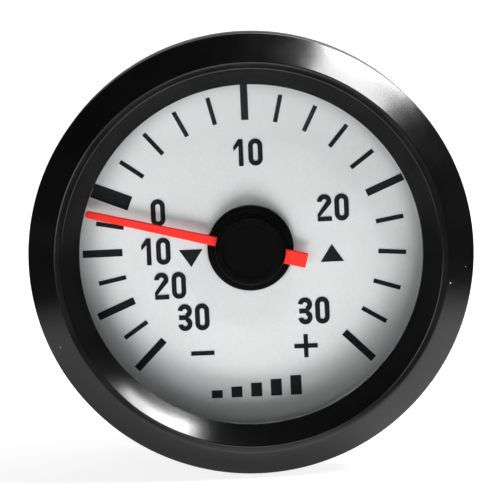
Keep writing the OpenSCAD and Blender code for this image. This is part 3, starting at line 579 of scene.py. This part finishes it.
tabs = joined("lamp_tabs", [tab("tab_left", -1), tab("tab_right", 1)])
mounted(tabs, "lamp", "brass", "bulb_terminals")
meshes = [piece for piece in bpy.data.objects if piece.type == "MESH"]
print("new pieces:", len(meshes) - len(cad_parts))

# %% [markdown]
# ## Bulb
# The bulb is blown glass on a pinched foot. It hides behind the dial, but it shows when
# the holder is pulled out, so it gets a real wall, two supports and a coiled filament.

# %% Blow the bulb
bulb = turned("bulb_glass", [
    (0, -17.7), (2.5, -17.7, 2.3), (2.5, -23.4, 0.7), (2, -24.4, 0.3), (2, -26.2),
    (1.7, -26.2), (1.7, -24.5, 0.3), (2.2, -23.4, 0.6), (2.2, -18, 2), (0, -18),
], at=LAMP, steps=48, shut=False)
mounted(bulb, "lamp", "clear_glass", "bulb")


def wire(name, points, radius):
    """A round wire through drawn places: a line made a round curve, then a mesh."""
    line = draw_line(name, [place(*p) for p in points], shut=False)
    bpy.ops.object.mode_set(mode="OBJECT")
    bpy.ops.object.transform_apply(location=True)
    bpy.ops.object.convert(target="CURVE")
    line = bpy.context.object
    line.data.bevel_depth, line.data.bevel_resolution = radius * MM, 2
    line.data.use_fill_caps = True
    bpy.ops.object.convert(target="MESH")
    return tidy(bpy.context.object, 60)


LEG_TOP, COIL_RADIUS, COIL_POINTS = -21, 0.18, 60
legs = []
for half, x in (("left", LAMP[0] - 1), ("right", LAMP[0] + 1)):
    foot, top = (x, LAMP[1], -26), (x, LAMP[1], LEG_TOP)
    legs.append(wire("support_" + half, [foot, top], 0.12))
coil = [
    (LAMP[0] - 1 + 2 * s / COIL_POINTS, LAMP[1] + COIL_RADIUS * math.cos(s),
     LEG_TOP + COIL_RADIUS * math.sin(s)) for s in range(COIL_POINTS + 1)
]
filament = joined("lamp_filament", [wire("filament_coil", coil, 0.04), *legs])
mounted(filament, "lamp", "steel")
print("filament", len(filament.data.polygons), "faces")

# %% [markdown]
# ## A way to write finishes
# Colours are written as the hex values that a picture program shows, and one function
# turns them into the linear values that the renderer counts in. A pattern's size is
# written in millimetres. One more function adds a node: its settings, and its inputs,
# each a plain value, another node or one of its outputs.

# %% Colour and node helpers
COLOUR_A, COLOUR_B, MIXED = 6, 7, 2


def linear(text):
    parts = [int(text[k:k + 2], 16) / 255 for k in (1, 3, 5)]
    return [c / 12.92 if c <= 0.04045 else ((c + 0.055) / 1.055) ** 2.4 for c in parts] + [1]


def across(size):
    """The scale of a pattern whose features are so many millimetres across."""
    return 1 / (size * MM)


def add(tree, kind, inputs=(), **settings):
    """Add a node. Inputs are pairs of a socket's name or number and what goes into it."""
    made = tree.nodes.new("ShaderNode" + kind)
    for name, value in settings.items():
        setattr(made, name, value)
    for name, value in inputs:
        if isinstance(value, bpy.types.Node):
            value = value.outputs[0]
        if isinstance(value, bpy.types.NodeSocket):
            tree.links.new(value, made.inputs[name])
        else:
            made.inputs[name].default_value = value
    return made


def finish(name):
    """A new empty material, its tree and Object coordinates."""
    material = bpy.data.materials.new(name)
    material.use_nodes = True
    tree = material.node_tree
    tree.nodes.clear()
    return material, tree, add(tree, "TexCoord").outputs["Object"]


print("mid grey #808080 is", round(linear("#808080")[0], 3), "linear")

# %% [markdown]
# ## Gloss black enamel on the bezel
# The bezel is sprayed with gloss black and stoved. Real enamel isn't a mirror: it has
# orange peel a millimetre or so across, which makes highlights streaky, and a few
# specks of dust that catch the light. The specks are drawn coarser than life, two tenths
# of a millimetre across, because finer ones wouldn't show.

# %% Enamel and dust
DUST = "#B9BCBA"


def specks(tree, where, every, share, radius):
    """Dust: 1 on specks about every so many millimetres, in a share of the cells."""
    grid = add(tree, "TexVoronoi", [
        ("Vector", where), ("Scale", across(every)), ("Randomness", 1),
    ])
    pick = add(tree, "SeparateColor", [("Color", grid.outputs["Color"])])
    chosen = add(tree, "Math", [(0, pick), (1, share)], operation="LESS_THAN")
    near = add(tree, "Math", [
        (0, grid.outputs["Distance"]), (1, radius / every),
    ], operation="LESS_THAN")
    return add(tree, "Math", [(0, near), (1, chosen)], operation="MULTIPLY")


enamel, tree, where = finish("gloss_black_enamel")
peel = add(tree, "TexNoise", [("Vector", where), ("Scale", across(1.4)), ("Detail", 2)])
cloud = add(tree, "TexNoise", [("Vector", where), ("Scale", across(6)), ("Detail", 4)])
sheen = add(tree, "MapRange", [
    ("Value", cloud), ("From Min", 0.35), ("From Max", 0.65), ("To Min", 0.17),
    ("To Max", 0.23),
])
colour = add(tree, "Mix", [
    ("Factor", specks(tree, where, 2.2, 0.12, 0.1)),
    (COLOUR_A, linear("#040404")), (COLOUR_B, linear(DUST)),
], data_type="RGBA")
relief = add(tree, "Bump", [("Height", peel), ("Distance", 0.02 * MM), ("Strength", 0.3)])
skin = add(tree, "BsdfPrincipled", [
    ("Base Color", colour.outputs[MIXED]), ("Roughness", sheen), ("IOR", 1.52),
    ("Normal", relief),
])
add(tree, "OutputMaterial", [("Surface", skin)])
print(enamel.name, "has", len(tree.nodes), "nodes")

# %% [markdown]
# ## Moulded, rubber and dipped blacks
# The rim, the hub and the cap are moulded black plastic, the gasket is rubber, and the
# case is dipped in a thin black paint. They share a colour but not a surface: the mould
# leaves a fine satin, the rubber is dull, the case has a slight texture. The hub takes
# dust too. Each grain is a few tenths of a millimetre, the finest that shows.

# %% Four quiet blacks
def plain_black(name, colours, roughness, grain, bump, shine=0.5, dusty=0.0):
    """Colours and roughness run between two values, and grain and bump are in mm."""
    material, tree, where = finish(name)
    fine = add(tree, "TexNoise", [
        ("Vector", where), ("Scale", across(grain)), ("Detail", 3),
    ])
    broad = add(tree, "TexNoise", [("Vector", where), ("Scale", across(8)), ("Detail", 2)])
    polish = add(tree, "MapRange", [
        ("Value", broad), ("From Min", 0.3), ("From Max", 0.7), ("To Min", roughness[0]),
        ("To Max", roughness[1]),
    ])
    shade = add(tree, "Mix", [
        ("Factor", broad), (COLOUR_A, linear(colours[0])), (COLOUR_B, linear(colours[1])),
    ], data_type="RGBA")
    if dusty:
        shade = add(tree, "Mix", [
            ("Factor", specks(tree, where, 1.8, dusty, 0.09)),
            (COLOUR_A, shade.outputs[MIXED]), (COLOUR_B, linear(DUST)),
        ], data_type="RGBA")
    relief = add(tree, "Bump", [
        ("Height", fine), ("Distance", bump * MM), ("Strength", 0.5),
    ])
    skin = add(tree, "BsdfPrincipled", [
        ("Base Color", shade.outputs[MIXED]), ("Roughness", polish),
        ("Specular IOR Level", shine), ("Normal", relief),
    ])
    add(tree, "OutputMaterial", [("Surface", skin)])
    return material


rim_black = plain_black(
    "moulded_black_abs", ("#0B0B0C", "#121313"), (0.42, 0.55), 0.3, 0.01)
seal_black = plain_black(
    "black_nitrile_rubber", ("#0D0D0D", "#171717"), (0.7, 0.85), 0.2, 0.02)
hub_black = plain_black(
    "satin_black_acetal", ("#020202", "#050505"), (0.3, 0.4), 0.4, 0.006, 0.05, 0.3)
case_black = plain_black(
    "dipped_black_paint", ("#101111", "#191A1A"), (0.3, 0.45), 0.6, 0.015)
print("blacks:", rim_black.name, seal_black.name, hub_black.name, case_black.name)

# %% [markdown]
# ## Satin silver dial
# The plate is aluminium with a sprayed silver finish. Its flakes are far too fine to
# show, so the grain is drawn at a sixth of a millimetre. The satin spreads what it
# reflects, so the hub leaves a soft dark patch and the rim a soft edge. A few specks of
# dust lie on it, as they do in the photograph.

# %% Silver lacquer
silver, tree, where = finish("satin_silver_lacquer")
flake = add(tree, "TexNoise", [("Vector", where), ("Scale", across(0.16)), ("Detail", 2)])
cloud = add(tree, "TexNoise", [("Vector", where), ("Scale", across(9)), ("Detail", 3)])
tone = add(tree, "Mix", [
    ("Factor", flake), (COLOUR_A, linear("#D0D2D3")), (COLOUR_B, linear("#E6E7E7")),
], data_type="RGBA")
colour = add(tree, "Mix", [
    ("Factor", specks(tree, where, 2.6, 0.1, 0.08)),
    (COLOUR_A, tone.outputs[MIXED]), (COLOUR_B, linear("#FFFFFF")),
], data_type="RGBA")
satin = add(tree, "MapRange", [
    ("Value", cloud), ("From Min", 0.3), ("From Max", 0.7), ("To Min", 0.42),
    ("To Max", 0.46),
])
relief = add(tree, "Bump", [
    ("Height", flake), ("Distance", 0.006 * MM), ("Strength", 0.4),
])
skin = add(tree, "BsdfPrincipled", [
    ("Base Color", colour.outputs[MIXED]), ("Metallic", 1), ("Roughness", satin),
    ("Normal", relief),
])
add(tree, "OutputMaterial", [("Surface", skin)])
print(silver.name, "has", len(tree.nodes), "nodes")

# %% [markdown]
# ## Printing and the red pointer
# The dial is screen printed in a matt black. The ink has a slightly uneven film. The
# pointer is sprayed red, and a painted glow in its own red is added, which makes it
# brighter than the lamps alone light it.

# %% Ink and red with a painted glow
ink, tree, where = finish("screen_printed_ink")
film = add(tree, "TexNoise", [("Vector", where), ("Scale", across(0.3)), ("Detail", 3)])
shade = add(tree, "Mix", [
    ("Factor", film), (COLOUR_A, linear("#0D0F11")), (COLOUR_B, linear("#171B1E")),
], data_type="RGBA")
relief = add(tree, "Bump", [
    ("Height", film), ("Distance", 0.008 * MM), ("Strength", 0.4),
])
skin = add(tree, "BsdfPrincipled", [
    ("Base Color", shade.outputs[MIXED]), ("Roughness", 0.55),
    ("Specular IOR Level", 0.1), ("Normal", relief),
])
add(tree, "OutputMaterial", [("Surface", skin)])

red, tree, where = finish("red_lacquer_painted_glow")
spray = add(tree, "TexNoise", [("Vector", where), ("Scale", across(0.5)), ("Detail", 3)])
shade = add(tree, "Mix", [
    ("Factor", spray), (COLOUR_A, linear("#DA1C0E")), (COLOUR_B, linear("#E62515")),
], data_type="RGBA")
relief = add(tree, "Bump", [
    ("Height", spray), ("Distance", 0.01 * MM), ("Strength", 0.4),
])
# The emission is a painted glow in the pointer's own red.
skin = add(tree, "BsdfPrincipled", [
    ("Base Color", shade.outputs[MIXED]), ("Roughness", 0.5),
    ("Specular IOR Level", 0.25), ("Emission Color", linear("#FF2A1A")),
    ("Emission Strength", 0.12), ("Normal", relief),
])
add(tree, "OutputMaterial", [("Surface", skin)])
print(ink.name, red.name)

# %% [markdown]
# ## Clear glass
# The photograph shows no veil over the dial, so its glass is taken to be coated against
# reflection: it mirrors the room very faintly, and more at a glancing angle. Refraction
# adds nothing to a flat pane seen from the front, so the surface is a Fresnel mix of a
# clear and a mirror shader, which also lets the lamps light the dial. The low index
# stands for the coating.

# %% Glass
pane, tree, where = finish("polished_clear_glass")
glance = add(tree, "Fresnel", [("IOR", 1.14)])
through = add(tree, "BsdfTransparent", [("Color", linear("#FFFFFF"))])
mirror = add(tree, "BsdfGlossy", [("Color", linear("#FFFFFF")), ("Roughness", 0.02)])
skin = add(tree, "MixShader", [(0, glance), (1, through), (2, mirror)])
add(tree, "OutputMaterial", [("Surface", skin)])
print(pane.name, "has", len(tree.nodes), "nodes")

# %% [markdown]
# ## Brass, bronze, steel and zinc
# Every metal has the same parts: a reflecting colour, a little tarnish in broad clouds,
# and tool marks. Turned work has rings round the gauge's axis, about three millimetres
# apart, which is far coarser than a tool leaves, so that they show. Plate and strip have
# a drawn grain that is stretched along the sheet. Bright zinc has a faint bluish cast
# with a mottled crystal look. The wave pattern counts twenty radians to a unit.

# %% Metals
RADIANS_A_UNIT = 20


def metal(name, colours, roughness, rings=0.0, stretch=1, grain=0.4, bump=0.006):
    """Rings are in millimetres a radian of their wave, and grain and bump in mm."""
    material, tree, where = finish(name)
    cloud = add(tree, "TexNoise", [("Vector", where), ("Scale", across(4)), ("Detail", 4)])
    if rings:
        marks = add(tree, "TexWave", [
            ("Vector", where), ("Scale", across(rings) / RADIANS_A_UNIT), ("Distortion", 1.5),
            ("Detail", 2),
        ], wave_type="BANDS", bands_direction="Y").outputs["Fac"]
    else:
        pulled = add(tree, "Mapping", [("Vector", where), ("Scale", (1, 1, stretch))])
        marks = add(tree, "TexNoise", [
            ("Vector", pulled), ("Scale", across(grain)), ("Detail", 3),
        ])
    tarnish = add(tree, "MapRange", [
        ("Value", cloud), ("From Min", 0.35), ("From Max", 0.75),
    ])
    shade = add(tree, "Mix", [
        ("Factor", tarnish), (COLOUR_A, linear(colours[0])), (COLOUR_B, linear(colours[1])),
    ], data_type="RGBA")
    polish = add(tree, "MapRange", [
        ("Value", tarnish), ("To Min", roughness[0]), ("To Max", roughness[1]),
    ])
    relief = add(tree, "Bump", [
        ("Height", marks), ("Distance", bump * MM), ("Strength", 0.5),
    ])
    skin = add(tree, "BsdfPrincipled", [
        ("Base Color", shade.outputs[MIXED]), ("Metallic", 1), ("Roughness", polish),
        ("Normal", relief),
    ])
    add(tree, "OutputMaterial", [("Surface", skin)])
    return material


turned_brass = metal("turned_brass", ("#E3C27A", "#C09A56"), (0.2, 0.34), rings=0.5)
sheet_brass = metal(
    "stamped_brass_sheet", ("#DDBD78", "#B8954F"), (0.3, 0.42), stretch=6)
bronze = metal("drawn_phosphor_bronze", ("#D8A678", "#A97446"), (0.26, 0.4), stretch=5)
turned_steel = metal("turned_steel", ("#C9CACA", "#A3A5A6"), (0.22, 0.34), rings=0.4)
zinc = metal(
    "bright_zinc_plate", ("#D3D8DC", "#BCC2C7"), (0.3, 0.4), grain=1.2, bump=0.002)
print("metals:", [m.name for m in (turned_brass, sheet_brass, bronze, turned_steel, zinc)])

# %% [markdown]
# ## Natural nylon
# The lamp's holder is moulded in undyed nylon, a milky off-white that lets a little light
# into itself, with the faint texture of the mould.

# %% Nylon
nylon, tree, where = finish("moulded_natural_nylon")
mould = add(tree, "TexNoise", [("Vector", where), ("Scale", across(0.5)), ("Detail", 3)])
shade = add(tree, "Mix", [
    ("Factor", mould), (COLOUR_A, linear("#D9D3BF")), (COLOUR_B, linear("#E6E1D0")),
], data_type="RGBA")
relief = add(tree, "Bump", [
    ("Height", mould), ("Distance", 0.01 * MM), ("Strength", 0.5),
])
skin = add(tree, "BsdfPrincipled", [
    ("Base Color", shade.outputs[MIXED]), ("Roughness", 0.45), ("Subsurface Weight", 0.1),
    ("Subsurface Radius", (MM, 0.8 * MM, 0.6 * MM)), ("Normal", relief),
])
add(tree, "OutputMaterial", [("Surface", skin)])
print(nylon.name)

# %% [markdown]
# ## Put the finishes on
# A new piece gets its finish appended. A CAD node keeps its mesh, and its slots are
# overwritten. The movement behind the dial, with its plates, gears and springs, is CAD
# work with real metal on it.

# %% Dress the pieces
def dress(material, *names):
    for name in names:
        piece = bpy.data.objects[name]
        if not piece.material_slots:
            piece.data.materials.append(material)
        for slot in piece.material_slots:
            slot.material = material


dress(enamel, "bezel_ring")
dress(rim_black, "rim_moulding")
dress(seal_black, "lens_seal")
dress(hub_black, "pointer_disc", "pointer_button")
dress(case_black, "case_cup")
dress(silver, "dial_plate")
dress(ink, "dial_marks", "printed_numbers", "dial_symbols")
dress(red, "pointer_needle")
dress(pane, "lens_glass", "bulb_glass")
dress(turned_brass, "pressure_fitting", "stem_hexagon", "hose_spout", "knurled_nut_left",
      "knurled_nut_right", "tube_tip", "plate_pillars", "hairspring_collet",
      "hairspring_stud")
dress(sheet_brass, "rear_plate", "front_plate", "sector_gear", "lamp_tabs")
dress(bronze, "bourdon_tube", "hairspring")
dress(turned_steel, "link", "link_pin", "plate_screws", "socket_screws", "sector_arbor",
      "pinion_arbor", "lamp_filament")
dress(zinc, "stem_ring", "threaded_studs", "clamp_strip", "spring_washers")
dress(nylon, "lamp_socket")
bare = [piece.name for piece in bpy.data.objects
        if piece.type == "MESH" and not piece.hide_render and not piece.data.materials]
print("pieces with no finish:", bare)

# %% [markdown]
# ## Camera
# The photograph looks at the dial from a little above, through a long lens. The gauge was
# also turned slightly in the picture, so the camera is rolled the other way. The frame's
# centre lies a few pixels from the dial's centre, and a pixel is 0.135 mm on the gauge.

# %% Aim the camera
PIXEL, PIXELS_LEFT, PIXELS_DOWN = 0.1351, 0.4, 3.2
DISTANCE, FOCAL, SENSOR = 0.704, 373.06, 36
azimuth, elevation, roll = (math.radians(angle) for angle in (-0.5, 8.7, -2.51))
back = Vector((math.sin(azimuth) * math.cos(elevation),
               -math.cos(azimuth) * math.cos(elevation), math.sin(elevation)))
aim = (-back).to_track_quat("-Z", "Y").to_matrix() @ Matrix.Rotation(roll, 3, "Z")
right, up = aim.col[0], aim.col[1]
middle = place(0, 0, DIAL_FACE) - (right * PIXELS_LEFT + up * PIXELS_DOWN) * PIXEL * MM
optics = bpy.data.cameras.new("camera")
optics.lens, optics.sensor_width = FOCAL, SENSOR
camera = bpy.data.objects.new("camera", optics)
bpy.context.scene.collection.objects.link(camera)
camera.matrix_world = Matrix.Translation(middle + back * DISTANCE) @ aim.to_4x4()
bpy.context.scene.camera = camera
print("the frame is", round(DISTANCE * SENSOR / FOCAL / MM, 1), "mm wide at the dial")

# %% [markdown]
# ## Light table and room
# The gauge stands on its bezel's edge on a light table, the white acrylic kind that
# product photographers use. It is a diffuse surface that takes the shadow, and it glows
# enough to read as white to the camera. The lamps below shine through it. To mirrors it
# is white under and behind the gauge only: in front and at the sides they see it dark,
# so that the enamel and the glass have dark surroundings to mirror.

# %% Table
TABLE, GLOW, MIRRORED, UNLIT = -30.2, 0.5, 0.35, 0.02
bpy.ops.object.select_all(action="DESELECT")
bpy.ops.mesh.primitive_plane_add(size=8, location=(0, 0, TABLE * MM))
floor = bpy.context.object
floor.name = "light_table"
floor.visible_shadow = False
acrylic, tree, where = finish("white_acrylic_table")
path = add(tree, "LightPath").outputs
spot = add(tree, "SeparateXYZ", [("Vector", where)]).outputs
aside = add(tree, "Math", [(0, spot["X"])], operation="ABSOLUTE")
beside = add(tree, "MapRange", [("Value", aside), ("From Min", 0.06), ("From Max", 0.1)])
ahead = add(tree, "MapRange", [
    ("Value", spot["Y"]), ("From Min", -0.04), ("From Max", -0.07),
])
mirrored = add(tree, "Math", [
    (0, path["Is Glossy Ray"]), (1, path["Is Transmission Ray"]),
], operation="MAXIMUM")
away = add(tree, "Math", [(0, beside), (1, ahead)], operation="MAXIMUM")
unlit = add(tree, "Math", [(0, away), (1, mirrored)], operation="MULTIPLY")
seen = add(tree, "Math", [
    (0, path["Is Camera Ray"]), (1, GLOW), (2, MIRRORED),
], operation="MULTIPLY_ADD")
matt = add(tree, "BsdfDiffuse", [("Color", linear("#A0A0A0"))])
own = add(tree, "Emission", [("Color", linear("#FFFFFF")), ("Strength", seen)])
bright = add(tree, "AddShader", [(0, matt), (1, own)])
dark = add(tree, "Emission", [("Color", linear("#FFFFFF")), ("Strength", UNLIT)])
skin = add(tree, "MixShader", [(0, unlit), (1, bright), (2, dark)])
add(tree, "OutputMaterial", [("Surface", skin)])
floor.data.materials.append(acrylic)
print("table at", round(floor.location.z / MM, 1), "mm")

# %% [markdown]
# The room is dark in front, because the black enamel mirrors it. Behind it is white
# above and dim near the horizon, and below the horizon it is white all round. The camera
# sees it white everywhere.

# %% Room
FRONT_ROOM, REAR_HORIZON, REAR_ROOM, BELOW = 0.03, 0.08, 0.85, 1.0
world = bpy.data.worlds.new("studio")
bpy.context.scene.world = world
world.use_nodes = True
tree = world.node_tree
tree.nodes.clear()
view = add(tree, "TexCoord").outputs["Generated"]
way = add(tree, "SeparateXYZ", [("Vector", view)]).outputs
rear = add(tree, "MapRange", [
    ("Value", way["Y"]), ("From Min", 0.2), ("From Max", 0.6),
], interpolation_type="SMOOTHSTEP")
high = add(tree, "MapRange", [
    ("Value", way["Z"]), ("From Min", 0.25), ("From Max", 0.5), ("To Min", REAR_HORIZON),
    ("To Max", REAR_ROOM),
])
above = add(tree, "Mix", [
    ("Factor", rear), ("A", FRONT_ROOM), ("B", high),
], data_type="FLOAT")
lower = add(tree, "MapRange", [
    ("Value", way["Z"]), ("From Min", 0.02), ("From Max", -0.04),
], interpolation_type="SMOOTHSTEP")
level = add(tree, "Mix", [("Factor", lower), ("A", above), ("B", BELOW)], data_type="FLOAT")
to_camera = add(tree, "LightPath").outputs["Is Camera Ray"]
level = add(tree, "Mix", [("Factor", to_camera), ("A", level), ("B", 1)], data_type="FLOAT")
room = add(tree, "Background", [("Color", linear("#FFFFFF")), ("Strength", level)])
add(tree, "OutputWorld", [("Surface", room)])
bpy.context.scene.view_settings.view_transform = "Standard"
print("world", world.name)

# %% [markdown]
# ## Lamps
# Two lamps to the upper right, nearly in the dial's own plane, put the white streaks on
# the bezel: one on its outer slope and one on the far inner slope. Two lamps shine up
# through the acrylic. The big one is low, so that the hub throws a soft shadow upwards,
# and a weaker one helps it on the left. A lamp in front, a little above the dial's axis,
# evens the plate, a small near one makes its left side brighter, and one lamp behind is
# for other views.

# %% Place the lamps
SOFTBOXES = {
    # name: (clock angle, angle off the dial's axis, distance, width, height, radiance)
    "outer_slope_lamp": (37, 76, 0.5, 0.14, 0.22, 20),
    "inner_slope_lamp": (38, 93, 0.5, 0.16, 0.26, 36),
    "table_lamp": (178, 49, 0.6, 0.36, 0.36, 9.6),
    "table_lamp_left": (225, 38, 0.6, 0.3, 0.3, 2.2),
    "front_lamp": (20, 12, 0.6, 0.24, 0.24, 2.2),
    "side_lamp": (272, 26, 0.27, 0.1, 0.1, 3),
    "rear_lamp": (40, 140, 0.8, 0.6, 0.6, 2),
}


def softbox(name, clock, off_axis, distance, wide, tall, radiance):
    """A lamp at an hour-hand angle and an angle off the dial's axis, facing the dial."""
    clock, off_axis = math.radians(clock), math.radians(off_axis)
    towards = Vector((math.sin(off_axis) * math.sin(clock), -math.cos(off_axis),
                      math.sin(off_axis) * math.cos(clock)))
    lamp = bpy.data.lights.new(name, "AREA")
    lamp.shape, lamp.size, lamp.size_y = "RECTANGLE", wide, tall
    lamp.energy = radiance * math.pi * wide * tall
    box = bpy.data.objects.new(name, lamp)
    bpy.context.scene.collection.objects.link(box)
    box.matrix_world = Matrix.Translation(towards * distance) @ (
        (-towards).to_track_quat("-Z", "Y").to_matrix().to_4x4())
    box.visible_camera = False


for name, setting in SOFTBOXES.items():
    softbox(name, *setting)
